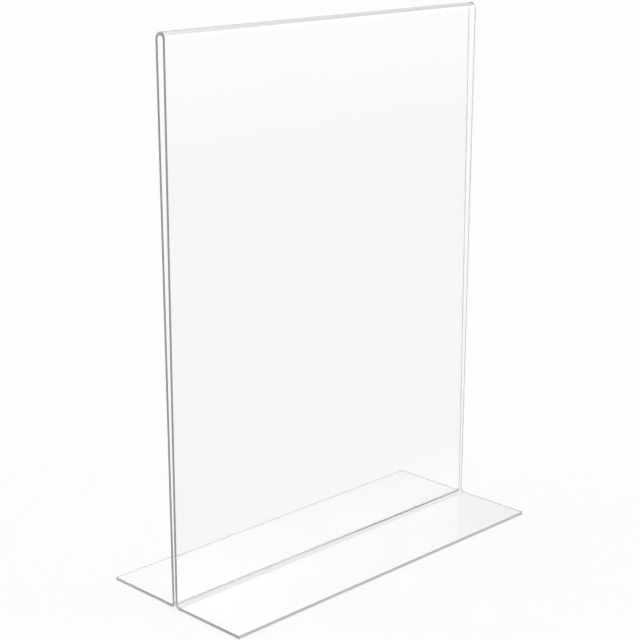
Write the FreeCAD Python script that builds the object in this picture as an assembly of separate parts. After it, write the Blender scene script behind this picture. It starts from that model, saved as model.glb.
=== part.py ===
"""Clear T-shaped sign holder: one strip of acrylic sheet, bent into two feet and two panels.

The strip's profile lies in the YZ plane and is the same along the whole width, which runs along X.
From front to rear it is a flat foot, a right-angle heel bend, a panel, a hairpin bend over the top,
and the same again in reverse. The two panels hold an upright letter-size sign between them, which
is loaded from below. Front is -Y, up is +Z, and the origin is the middle of the footprint, on the
surface that the stand rests on. All lengths are in millimetres.

Each region of the strip between two bend lines is a solid of its own. Neighbours meet face to face.
"""

import FreeCAD, Part
import math
import os

# The sign that the stand is made for.
SIGN_WIDTH = 215.9
SIGN_HEIGHT = 279.4

# The sheet and its bends. The inner radius is on the hollow side of each bend.
SHEET_THICKNESS = 1.5
HEEL_INNER_RADIUS = 1.0
TOP_INNER_RADIUS = 1.8

# The space around the sign.
HEADROOM_OVER_SIGN = 1.1
MOUTH_GAP = 0.8
BASE_DEPTH = 93.4

# Worked out from the sizes above.
OVERALL_HEIGHT = SIGN_HEIGHT + HEADROOM_OVER_SIGN + SHEET_THICKNESS
HEEL_OUTER_RADIUS = HEEL_INNER_RADIUS + SHEET_THICKNESS
TOP_OUTER_RADIUS = TOP_INNER_RADIUS + SHEET_THICKNESS

# Centres of the bends in the front half, as (y, z). The heel's outer arc is tangent to the floor and
# comes within half the mouth gap of the middle plane. The hairpin's outer arc reaches the full height.
HEEL_CENTRE = (-(MOUTH_GAP / 2 + HEEL_OUTER_RADIUS), HEEL_OUTER_RADIUS)
TOP_CENTRE = (0.0, OVERALL_HEIGHT - TOP_OUTER_RADIUS)

# Directions in the YZ plane, in degrees from +Y towards +Z.
REARWARD = 0.0
UPWARD = 90.0
FORWARD = 180.0
DOWNWARD = 270.0


def panel_lean():
    """How far the front panel leans from upright, in degrees: its foot is nearer the middle plane than its top.

    The panel's slot face is the line that runs between the two bends and is tangent to both.
    """
    rise = TOP_CENTRE[1] - HEEL_CENTRE[1]
    run = TOP_CENTRE[0] - HEEL_CENTRE[0]
    between_centres = math.hypot(rise, run)
    crossing = math.asin((TOP_INNER_RADIUS + HEEL_OUTER_RADIUS) / between_centres)
    return math.degrees(crossing - math.atan2(run, rise))


def polar(centre, radius, direction):
    """The point at that distance and direction from a centre, on the sheet's left-hand end plane."""
    angle = math.radians(direction)
    y = centre[0] + radius * math.cos(angle)
    z = centre[1] + radius * math.sin(angle)
    return FreeCAD.Vector(-SIGN_WIDTH / 2, y, z)


def across_width(edges):
    """The solid that a closed outline makes when it is drawn along the whole width."""
    face = Part.Face(Part.Wire(edges))
    return face.extrude(FreeCAD.Vector(SIGN_WIDTH, 0, 0))


def flat(corners):
    """A flat stretch of the sheet, from its four corners in order around the profile."""
    return across_width(Part.makePolygon([*corners, corners[0]]).Edges)


def bend(centre, inner_radius, first, last):
    """A bent stretch of the sheet, between two directions from the bend's centre."""
    outer_radius = inner_radius + SHEET_THICKNESS
    middle = (first + last) / 2
    inner = [polar(centre, inner_radius, direction) for direction in (first, middle, last)]
    outer = [polar(centre, outer_radius, direction) for direction in (first, middle, last)]
    return across_width(
        [
            Part.Arc(*inner).toShape(),
            Part.makeLine(inner[2], outer[2]),
            Part.Arc(*reversed(outer)).toShape(),
            Part.makeLine(outer[0], inner[0]),
        ]
    )


def front_foot():
    """The flat foot, from its front edge to the tangent line of the heel bend."""
    front_edge = (-BASE_DEPTH / 2, HEEL_CENTRE[1])
    return flat(
        [
            polar(front_edge, HEEL_OUTER_RADIUS, DOWNWARD),
            polar(HEEL_CENTRE, HEEL_OUTER_RADIUS, DOWNWARD),
            polar(HEEL_CENTRE, HEEL_INNER_RADIUS, DOWNWARD),
            polar(front_edge, HEEL_INNER_RADIUS, DOWNWARD),
        ]
    )


def front_heel_bend():
    """The right-angle bend that turns the foot up into the panel."""
    return bend(HEEL_CENTRE, HEEL_INNER_RADIUS, DOWNWARD - 360, REARWARD + panel_lean())


def front_panel():
    """The flat window in front of the sign, from the heel bend to the hairpin."""
    lean = panel_lean()
    return flat(
        [
            polar(HEEL_CENTRE, HEEL_OUTER_RADIUS, REARWARD + lean),
            polar(TOP_CENTRE, TOP_INNER_RADIUS, FORWARD + lean),
            polar(TOP_CENTRE, TOP_OUTER_RADIUS, FORWARD + lean),
            polar(HEEL_CENTRE, HEEL_INNER_RADIUS, REARWARD + lean),
        ]
    )


def front_top_bend():
    """The front half of the hairpin, from the panel to the highest line of the sheet."""
    return bend(TOP_CENTRE, TOP_INNER_RADIUS, UPWARD, FORWARD + panel_lean())


def mirrored_to_rear(shape):
    """The rear half is the front half, mirrored in the middle plane of the sign slot."""
    return shape.mirror(FreeCAD.Vector(0, 0, 0), FreeCAD.Vector(0, 1, 0))


FRONT_REGIONS = {
    "foot": front_foot,
    "heel_bend": front_heel_bend,
    "panel": front_panel,
    "top_bend": front_top_bend,
}

os.makedirs("parts", exist_ok=True)
for name, make in FRONT_REGIONS.items():
    region = make()
    region.exportStep(f"parts/front_{name}.step")
    mirrored_to_rear(region).exportStep(f"parts/rear_{name}.step")
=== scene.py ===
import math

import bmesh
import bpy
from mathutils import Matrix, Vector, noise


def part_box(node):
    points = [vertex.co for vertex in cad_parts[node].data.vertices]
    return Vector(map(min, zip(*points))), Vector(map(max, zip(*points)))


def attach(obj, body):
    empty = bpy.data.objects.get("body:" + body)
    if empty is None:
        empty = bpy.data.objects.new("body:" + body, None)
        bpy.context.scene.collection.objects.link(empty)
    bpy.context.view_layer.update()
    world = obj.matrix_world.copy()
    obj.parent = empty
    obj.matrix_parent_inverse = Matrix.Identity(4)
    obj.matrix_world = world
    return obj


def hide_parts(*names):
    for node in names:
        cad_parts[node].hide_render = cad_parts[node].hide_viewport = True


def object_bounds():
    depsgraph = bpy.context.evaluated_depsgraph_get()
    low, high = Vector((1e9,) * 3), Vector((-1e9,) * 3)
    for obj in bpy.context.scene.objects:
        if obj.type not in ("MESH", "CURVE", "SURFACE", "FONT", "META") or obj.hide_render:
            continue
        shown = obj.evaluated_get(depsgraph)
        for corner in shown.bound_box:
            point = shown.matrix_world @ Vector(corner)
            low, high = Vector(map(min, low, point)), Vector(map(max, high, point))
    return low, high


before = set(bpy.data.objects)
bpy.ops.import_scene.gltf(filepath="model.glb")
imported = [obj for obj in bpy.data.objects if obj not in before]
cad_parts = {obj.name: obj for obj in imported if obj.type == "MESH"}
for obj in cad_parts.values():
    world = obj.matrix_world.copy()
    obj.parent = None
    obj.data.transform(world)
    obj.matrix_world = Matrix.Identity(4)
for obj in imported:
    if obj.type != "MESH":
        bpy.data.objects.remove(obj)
CAD_LOW, CAD_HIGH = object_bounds()

# The clear sign holder is one strip of acrylic sheet. Here it is cut flat, its cut edges are eased,
# and it is then bent along the same line as the CAD regions, so that the finished sheet has no seams.
# Lengths are in metres. A point of the flat strip is (across, along, up): across the width, along the
# strip from the front foot's edge to the rear foot's edge, and up through the thickness, where up is
# the side that ends on top of the feet and on the outside of the panels.

MM = 0.001

# Sizes of the sheet, read from the CAD regions.
FOOT_LOW, FOOT_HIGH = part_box("front_foot")
HEEL_LOW, HEEL_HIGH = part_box("front_heel_bend")
TOP_LOW, TOP_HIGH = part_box("front_top_bend")
WIDTH = FOOT_HIGH.x - FOOT_LOW.x
THICKNESS = FOOT_HIGH.z - FOOT_LOW.z
FOOT_LENGTH = FOOT_HIGH.y - FOOT_LOW.y
HEEL_OUTER_RADIUS = HEEL_HIGH.y - HEEL_LOW.y
TOP_OUTER_RADIUS = TOP_HIGH.y - TOP_LOW.y
HEEL_RADIUS = HEEL_OUTER_RADIUS - THICKNESS / 2
TOP_RADIUS = TOP_OUTER_RADIUS - THICKNESS / 2

# Finish of the sheet: its rounded edges, the flare at both ends of each bend, and the bow of its flats.
ARRIS = 0.12 * MM
ARRIS_STEPS = 3
ARRIS_PROFILE = 0.5
SQUARE_ANGLE = math.radians(60)
BEND_FLARE = 0.10 * MM
FLARE_FALLOFF = 24
BOW = 0.04 * MM
BOW_WAVELENGTH = 70 * MM

# The mesh's two materials, its flat coordinates, and how far a normal leans to an axis that it faces.
CLEAR_FACES = 0
CUT_FACES = 1
STRIP_MAP = "strip"
FACING = 0.5

# How finely the sheet is divided.
FLAT_STEP = 6 * MM
BEND_STEP = math.radians(4.5)


def panel_shape():
    """The panel's length and its lean from upright, from the tangent line between the two bends.

    The foot ends under the heel bend's centre, and the hairpin's centre is in the middle plane.
    """
    run = FOOT_HIGH.y
    rise = (TOP_HIGH.z - TOP_OUTER_RADIUS) - HEEL_OUTER_RADIUS
    between_centres = math.hypot(run, rise)
    radii = TOP_RADIUS + HEEL_RADIUS
    lean = math.asin(radii / between_centres) - math.atan2(-run, rise)
    return math.sqrt(between_centres**2 - radii**2), lean


PANEL_LENGTH, PANEL_LEAN = panel_shape()
HEEL_TURN = math.pi / 2 + PANEL_LEAN
TOP_TURN = 2 * HEEL_TURN

# The strip's route, as (length, turn) of each stretch, where a turn to the left is positive.
ROUTE = [
    (FOOT_LENGTH, 0.0),
    (HEEL_RADIUS * HEEL_TURN, HEEL_TURN),
    (PANEL_LENGTH, 0.0),
    (TOP_RADIUS * TOP_TURN, -TOP_TURN),
    (PANEL_LENGTH, 0.0),
    (HEEL_RADIUS * HEEL_TURN, HEEL_TURN),
    (FOOT_LENGTH, 0.0),
]
STRIP_LENGTH = sum(length for length, turn in ROUTE)


def place_along(along):
    """The strip's middle line, that far along it: (y, z, heading, share of the stretch done, its turn)."""
    y, z, heading = CAD_LOW.y, THICKNESS / 2, 0.0
    for index, (length, turn) in enumerate(ROUTE):
        last = index == len(ROUTE) - 1
        done = along if last else min(along, length)
        share = done / length
        if turn:
            radius = length / turn
            turned = turn * share
            y += radius * (math.sin(heading + turned) - math.sin(heading))
            z += radius * (math.cos(heading) - math.cos(heading + turned))
            heading += turned
        else:
            y += done * math.cos(heading)
            z += done * math.sin(heading)
        along -= done
        if along <= 0.0:
            return y, z, heading, share, turn
    return y, z, heading, 1.0, 0.0


def stations_along():
    """Distances along the strip where the mesh has an edge: fine in the bends, coarse in the flats."""
    stations, start = [0.0], 0.0
    for length, turn in ROUTE:
        steps = round(abs(turn) / BEND_STEP) if turn else round(length / FLAT_STEP)
        stations += [start + length * (i + 1) / steps for i in range(steps)]
        start += length
    return stations


def stations_across():
    """The same, across the width."""
    steps = round(WIDTH / FLAT_STEP)
    return [-WIDTH / 2 + WIDTH * i / steps for i in range(steps + 1)]


def flat_strip():
    """The strip as cut from the sheet: a closed box of faces, with its outer edges still square."""
    mesh = bmesh.new()
    across, along = stations_across(), stations_along()
    top = [[mesh.verts.new((x, y, THICKNESS / 2)) for x in across] for y in along]
    bottom = [[mesh.verts.new((x, y, -THICKNESS / 2)) for x in across] for y in along]
    for j in range(len(along) - 1):
        for i in range(len(across) - 1):
            mesh.faces.new((top[j][i], top[j][i + 1], top[j + 1][i + 1], top[j + 1][i]))
            mesh.faces.new((bottom[j][i], bottom[j + 1][i], bottom[j + 1][i + 1], bottom[j][i + 1]))
    for j in range(len(along) - 1):
        for i in (0, -1):
            wall = (top[j][i], top[j + 1][i], bottom[j + 1][i], bottom[j][i])
            mesh.faces.new(wall if i == 0 else reversed(wall))
    for i in range(len(across) - 1):
        for j in (0, -1):
            wall = (top[j][i], bottom[j][i], bottom[j][i + 1], top[j][i + 1])
            mesh.faces.new(wall if j == 0 else reversed(wall))
    mesh.normal_update()
    return mesh


def ease_edges(mesh):
    """Rounds every square edge a little, and keeps the sheet's flat faces flat up to that rounding."""
    square = [edge for edge in mesh.edges if edge.calc_face_angle() > SQUARE_ANGLE]
    eased = bmesh.ops.bevel(
        mesh,
        geom=square,
        offset=ARRIS,
        segments=ARRIS_STEPS,
        profile=ARRIS_PROFILE,
        affect="EDGES",
        clamp_overlap=True,
    )
    rounded = set(eased["faces"])
    for face in mesh.faces:
        face.smooth = True
        clear = face in rounded or abs(face.normal.z) > FACING
        face.material_index = CLEAR_FACES if clear else CUT_FACES
    for edge in mesh.edges:
        edge.smooth = len([face for face in edge.link_faces if face in rounded]) != 1


def lay_out_coordinates(mesh):
    """Gives the faces the strip's own flat coordinates, so that grain and saw marks follow the sheet."""
    layer = mesh.loops.layers.uv.new(STRIP_MAP)
    for face in mesh.faces:
        for loop in face.loops:
            across, along, up = loop.vert.co
            if abs(face.normal.x) > FACING:
                loop[layer].uv = (along, up)
            elif abs(face.normal.y) > FACING:
                loop[layer].uv = (across, up)
            else:
                loop[layer].uv = (along, across)


def bend_strip(mesh):
    """Bends the flat strip along its route, with the small flaws that bending by heat leaves."""
    for vertex in mesh.verts:
        across, along, up = vertex.co
        y, z, heading, share, turn = place_along(along)
        squeeze = math.sin(math.pi * share) * math.copysign(1.0, turn) if turn else 0.0
        edge = abs(across) / (WIDTH / 2)
        side = up / (THICKNESS / 2)
        across += math.copysign(BEND_FLARE, across) * squeeze * side * edge**FLARE_FALLOFF
        bowed = not turn and z > THICKNESS
        flat = math.sin(math.pi * share) ** 2 if bowed else 0.0
        wave = noise.noise(Vector((across, along, 0.0)) / BOW_WAVELENGTH)
        out = up + BOW * wave * flat
        vertex.co = (across, y - out * math.sin(heading), z + out * math.cos(heading))


def bent_sheet():
    """The whole sign holder as one piece, which stands for every CAD region."""
    mesh = flat_strip()
    ease_edges(mesh)
    lay_out_coordinates(mesh)
    bend_strip(mesh)
    data = bpy.data.meshes.new("bent_sheet")
    mesh.to_mesh(data)
    mesh.free()
    piece = bpy.data.objects.new("bent_sheet", data)
    bpy.context.scene.collection.objects.link(piece)
    data.materials.append(clear_acrylic())
    data.materials.append(cut_edge())
    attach(piece, "root")
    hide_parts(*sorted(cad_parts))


def new_material(name):
    """A new material with one Principled shader, as (material, nodes, links, shader)."""
    material = bpy.data.materials.new(name)
    material.use_nodes = True
    nodes, links = material.node_tree.nodes, material.node_tree.links
    nodes.clear()
    shader = nodes.new("ShaderNodeBsdfPrincipled")
    output = nodes.new("ShaderNodeOutputMaterial")
    links.new(shader.outputs["BSDF"], output.inputs["Surface"])
    return material, nodes, links, shader


# Tones of the sheet. Painted shade is taken off the clear tone along each heel and along two lines beside
# the middle of the hairpin, where the bends look darker. A painted shade also greys the panels down from
# the hairpin, fading out above the heels, for the darker surroundings that they reflect. The cut edges are
# painted lighter at the feet and greyer up into the panels.
CLEAR_TONE = 0.994
PANEL_PAINTED_SHADE = 0.025
PANEL_SHADE_STARTS = (5 * MM, 80 * MM)
PANEL_SHADE_FADE = 45 * MM
CROWN_OFFSET = 1.35 * MM
CROWN_REACH = 1.3 * MM
CROWN_PAINTED_SHADE = 0.16
HEEL_REACH = 3.0 * MM
HEEL_PAINTED_SHADE = 0.05
FOOT_EDGE_LIT_TONE = 0.88
PANEL_EDGE_SHADED_TONE = 0.65
EDGE_TURNS = (2 * MM, 12 * MM)

# Fine surface detail. A grain is (length along the sheet or the cut, length across it, a number not used).
RIPPLE_GRAIN = Vector((3 * MM, 30 * MM, 1.0))
RIPPLE_REACH = 9 * MM
RIPPLE_DEPTH = 0.007 * MM
SAW_GRAIN = Vector((0.35 * MM, 5 * MM, 1.0))
SAW_DEPTH = 0.03 * MM
SAW_TONE = 0.10
HANDLED_GRAIN = Vector((18 * MM, 18 * MM, 1.0))
HANDLED_TONE = 0.06
SMOOTH_DETAIL = 1.0
SAW_DETAIL = 2.0
NOISE_MIDDLE = 0.5

# Optics of acrylic, and of its two finishes.
ACRYLIC_IOR = 1.49
GLOSSY_ROUGHNESS = 0.01
GLOSSY_CLARITY = 1.0
SANDED_ROUGHNESS = 0.3
SANDED_CLARITY = 0.65


def plug(links, value, target):
    """Gives a node's input a link, or a plain number or vector."""
    if isinstance(value, bpy.types.NodeSocket):
        links.new(value, target)
    else:
        target.default_value = value


def math_node(nodes, links, operation, *values):
    """One Math node, with its inputs as links or numbers."""
    node = nodes.new("ShaderNodeMath")
    node.operation = operation
    for value, target in zip(values, node.inputs):
        plug(links, value, target)
    return node.outputs["Value"]


def vector_node(nodes, links, operation, output, *values):
    """One Vector Math node, with its inputs as links or vectors."""
    node = nodes.new("ShaderNodeVectorMath")
    node.operation = operation
    for value, target in zip(values, node.inputs):
        plug(links, value, target)
    return node.outputs[output]


def ease_node(nodes, links, value, start, end, low=0.0, high=1.0):
    """Goes smoothly from low to high while the value goes from start to end."""
    node = nodes.new("ShaderNodeMapRange")
    node.interpolation_type = "SMOOTHSTEP"
    names = ("Value", "From Min", "From Max", "To Min", "To Max")
    for name, given in zip(names, (value, start, end, low, high)):
        plug(links, given, node.inputs[name])
    return node.outputs["Result"]


def grey_paint(nodes, links, tone, shader):
    """Gives the shader's base colour a grey of that tone."""
    paint = nodes.new("ShaderNodeCombineColor")
    for channel in ("Red", "Green", "Blue"):
        plug(links, tone, paint.inputs[channel])
    links.new(paint.outputs["Color"], shader.inputs["Base Color"])


def strip_place(nodes):
    """The strip's own flat coordinates, in metres."""
    strip = nodes.new("ShaderNodeUVMap")
    strip.uv_map = STRIP_MAP
    return strip.outputs["UV"]


def grain(nodes, links, place, size, detail):
    """Smooth noise about 0.5, with grains of that size."""
    stretched = vector_node(nodes, links, "DIVIDE", "Vector", place, size)
    node = nodes.new("ShaderNodeTexNoise")
    node.inputs["Scale"].default_value = 1.0
    node.inputs["Detail"].default_value = detail
    links.new(stretched, node.inputs["Vector"])
    return node.outputs["Fac"]


def relief(nodes, links, height, depth, shader):
    """Gives the shader a bumpy surface, where height 0 to 1 stands for that depth."""
    bump = nodes.new("ShaderNodeBump")
    bump.inputs["Strength"].default_value = 1.0
    bump.inputs["Distance"].default_value = depth
    links.new(height, bump.inputs["Height"])
    links.new(bump.outputs["Normal"], shader.inputs["Normal"])


def acrylic_optics(shader, roughness, clarity):
    """Gives the shader acrylic's bending of light, with that roughness and share of light let through."""
    shader.inputs["Roughness"].default_value = roughness
    shader.inputs["IOR"].default_value = ACRYLIC_IOR
    shader.inputs["Transmission Weight"].default_value = clarity


def bend_band(nodes, links, from_middle, centre, reach, depth):
    """How deep a band along a bend is: depth at its centre line, nothing beyond its reach. It masks both
    the painted shade along the bends and the ripple of the heated bends.
    """
    offset = math_node(nodes, links, "SUBTRACT", from_middle, centre)
    distance = math_node(nodes, links, "ABSOLUTE", offset)
    return ease_node(nodes, links, distance, 0.0, reach, depth, 0.0)


def clear_acrylic():
    """The glossy faces: colourless, with painted shade on the panels and along the bends, and rippled by
    the heated bends.
    """
    material, nodes, links, shader = new_material("clear_acrylic")
    place = strip_place(nodes)
    split = nodes.new("ShaderNodeSeparateXYZ")
    links.new(place, split.inputs["Vector"])
    from_middle = math_node(nodes, links, "SUBTRACT", split.outputs["X"], STRIP_LENGTH / 2)
    from_middle = math_node(nodes, links, "ABSOLUTE", from_middle)
    heel_centre = STRIP_LENGTH / 2 - FOOT_LENGTH - HEEL_RADIUS * HEEL_TURN / 2
    # Painted shade: grey painted along two lines beside the middle of the hairpin and along each heel,
    # where the bends look darker.
    crown = bend_band(nodes, links, from_middle, CROWN_OFFSET, CROWN_REACH, CROWN_PAINTED_SHADE)
    heel = bend_band(nodes, links, from_middle, heel_centre, HEEL_REACH, HEEL_PAINTED_SHADE)
    # Painted shade: the panels are painted greyer down from the hairpin, fading out above the heels, for
    # the darker surroundings they reflect.
    panel_shade = ease_node(nodes, links, from_middle, *PANEL_SHADE_STARTS, 0.0, PANEL_PAINTED_SHADE)
    fade = ease_node(nodes, links, from_middle, heel_centre - PANEL_SHADE_FADE, heel_centre, 1.0, 0.0)
    tone = math_node(nodes, links, "SUBTRACT", CLEAR_TONE, math_node(nodes, links, "MULTIPLY", panel_shade, fade))
    for grey in (crown, heel):
        tone = math_node(nodes, links, "SUBTRACT", tone, grey)
    grey_paint(nodes, links, tone, shader)
    at_crown = bend_band(nodes, links, from_middle, 0.0, RIPPLE_REACH, 1.0)
    at_heel = bend_band(nodes, links, from_middle, heel_centre, RIPPLE_REACH, 1.0)
    heated = math_node(nodes, links, "MAXIMUM", at_crown, at_heel)
    ripple = grain(nodes, links, place, RIPPLE_GRAIN, SMOOTH_DETAIL)
    ripple = math_node(nodes, links, "MULTIPLY", ripple, heated)
    relief(nodes, links, ripple, RIPPLE_DEPTH, shader)
    acrylic_optics(shader, GLOSSY_ROUGHNESS, GLOSSY_CLARITY)
    return material


def cut_edge():
    """The sanded edges where the sheet was cut: satin, half clear, with fine saw marks across the edge, and
    painted shade that greys them up into the panels.
    """
    material, nodes, links, shader = new_material("cut_edge")
    split = nodes.new("ShaderNodeSeparateXYZ")
    links.new(nodes.new("ShaderNodeTexCoord").outputs["Object"], split.inputs["Vector"])
    # Painted shade: the cut edges are painted lighter at the feet and greyer up into the panels.
    tone = ease_node(nodes, links, split.outputs["Z"], *EDGE_TURNS, FOOT_EDGE_LIT_TONE, PANEL_EDGE_SHADED_TONE)
    place = strip_place(nodes)
    marks = grain(nodes, links, place, SAW_GRAIN, SAW_DETAIL)
    handled = grain(nodes, links, place, HANDLED_GRAIN, SMOOTH_DETAIL)
    for pattern, share in ((marks, SAW_TONE), (handled, HANDLED_TONE)):
        offset = math_node(nodes, links, "SUBTRACT", pattern, NOISE_MIDDLE)
        tone = math_node(nodes, links, "MULTIPLY_ADD", offset, share, tone)
    grey_paint(nodes, links, tone, shader)
    relief(nodes, links, marks, SAW_DEPTH, shader)
    acrylic_optics(shader, SANDED_ROUGHNESS, SANDED_CLARITY)
    return material


# The studio is a white light table under one soft light, with a wide soft fill low down in front and to
# the right. Tones are linear. PAPER_WHITE is the tone of the horizon, and of bare table too: there the
# glow and the share of light that the table returns add up to it.
FLOOR_DROP = 0.2 * MM
FLOOR_HALF = 40.0
PAPER_WHITE = 0.983
TABLE_GLOW = 0.625
TABLE_ALBEDO = 0.19

# The light around the table, by direction. Each "starts" or "from" is where a change begins and ends, as
# the height of the direction, or how far it points to the right, out of 1.
UPPER_TONE = 1.04
UPPER_STARTS = (0.42, 0.62)
SIDE_STARTS = (0.52, 0.74)
SIDE_TONES = (1.10, 0.72)
SIDE_FROM = (0.15, 0.38)
KEY_DIRECTION = Vector((-0.10, 0.05, 1.0)).normalized()
KEY_EDGE = (math.radians(32), math.radians(22))
KEY_TONE = 3.5
FILL_DIRECTION = Vector((0.66, -0.64, 0.42)).normalized()
FILL_EDGE = (math.radians(30), math.radians(12))
FILL_TONE = 1.15


def light_table():
    """A plain white table, just clear of the feet: it glows, and takes a faint shadow."""
    data = bpy.data.meshes.new("floor")
    z = CAD_LOW.z - FLOOR_DROP
    corners = [(-1, -1), (1, -1), (1, 1), (-1, 1)]
    data.from_pydata([(x * FLOOR_HALF, y * FLOOR_HALF, z) for x, y in corners], [], [(0, 1, 2, 3)])
    floor = bpy.data.objects.new("floor", data)
    bpy.context.scene.collection.objects.link(floor)
    material, _, _, shader = new_material("light_table")
    shader.inputs["Base Color"].default_value = (TABLE_ALBEDO, TABLE_ALBEDO, TABLE_ALBEDO, 1.0)
    shader.inputs["Emission Strength"].default_value = TABLE_GLOW
    shader.inputs["Emission Color"].default_value = (1, 1, 1, 1)
    shader.inputs["Roughness"].default_value = 1.0
    shader.inputs["Specular IOR Level"].default_value = 0.0
    data.materials.append(material)


def soft_lobe(nodes, links, direction, towards, edge, tone):
    """A round soft light towards one direction, as a tone to add."""
    facing = vector_node(nodes, links, "DOT_PRODUCT", "Value", direction, towards)
    return ease_node(nodes, links, facing, math.cos(edge[0]), math.cos(edge[1]), 0.0, tone)


def studio_world():
    """Soft light from all round: white at the horizon, dimmer to the right, with a key and a fill."""
    world = bpy.data.worlds.new("studio")
    bpy.context.scene.world = world
    world.use_nodes = True
    nodes, links = world.node_tree.nodes, world.node_tree.links
    direction = nodes.new("ShaderNodeTexCoord").outputs["Generated"]
    split = nodes.new("ShaderNodeSeparateXYZ")
    links.new(direction, split.inputs["Vector"])
    tone = ease_node(nodes, links, split.outputs["Z"], *UPPER_STARTS, PAPER_WHITE, UPPER_TONE)
    side = ease_node(nodes, links, split.outputs["X"], *SIDE_STARTS, *SIDE_TONES)
    sided = ease_node(nodes, links, split.outputs["Z"], *SIDE_FROM, 1.0, side)
    tone = math_node(nodes, links, "MULTIPLY", tone, sided)
    for lobe in ((KEY_DIRECTION, KEY_EDGE, KEY_TONE), (FILL_DIRECTION, FILL_EDGE, FILL_TONE)):
        tone = math_node(nodes, links, "ADD", tone, soft_lobe(nodes, links, direction, *lobe))
    background = nodes["Background"]
    background.inputs["Color"].default_value = (1, 1, 1, 1)
    links.new(tone, background.inputs["Strength"])


# The view is aimed near the middle of the stand. Azimuth 0 looks at its front, and a negative azimuth
# shows its left end. Lens and sensor are in millimetres.
VIEW_AZIMUTH = math.radians(-44.99)
VIEW_ELEVATION = math.radians(15.95)
VIEW_DISTANCE = 0.83
VIEW_AIM_FROM_CENTRE = Vector((-0.0150, -0.0082, -0.0100))
LENS_MM = 92.08
SENSOR_MM = 36.0
NEAREST = 0.01
FURTHEST = 200.0


def camera():
    """A long lens, a little above the sign, turned half-way between its front and its left end."""
    data = bpy.data.cameras.new("camera")
    data.lens = LENS_MM
    data.sensor_width = SENSOR_MM
    data.clip_start = NEAREST
    data.clip_end = FURTHEST
    view = bpy.data.objects.new("camera", data)
    bpy.context.scene.collection.objects.link(view)
    bpy.context.scene.camera = view
    level = math.cos(VIEW_ELEVATION)
    to_side, to_front = math.sin(VIEW_AZIMUTH) * level, math.cos(VIEW_AZIMUTH) * level
    back = Vector((to_side, -to_front, math.sin(VIEW_ELEVATION)))
    aim = (CAD_LOW + CAD_HIGH) / 2 + VIEW_AIM_FROM_CENTRE
    view.rotation_mode = "QUATERNION"
    view.location = aim + back * VIEW_DISTANCE
    view.rotation_quaternion = (-back).to_track_quat("-Z", "Y")


# How often light may bounce: enough to cross every clear face in a row and to stay inside a cut edge.
CLEAR_BOUNCES = 32
GLOSSY_BOUNCES = 16
DIFFUSE_BOUNCES = 4


def light_paths():
    """Plain colours, and light that is followed through all the clear faces with nothing cut short."""
    bpy.context.scene.view_settings.view_transform = "Standard"
    cycles = bpy.context.scene.cycles
    cycles.blur_glossy = 0.0
    cycles.max_bounces = CLEAR_BOUNCES
    cycles.transmission_bounces = CLEAR_BOUNCES
    cycles.glossy_bounces = GLOSSY_BOUNCES
    cycles.diffuse_bounces = DIFFUSE_BOUNCES
    cycles.sample_clamp_indirect = 0.0


light_paths()
camera()
studio_world()
light_table()
bent_sheet()
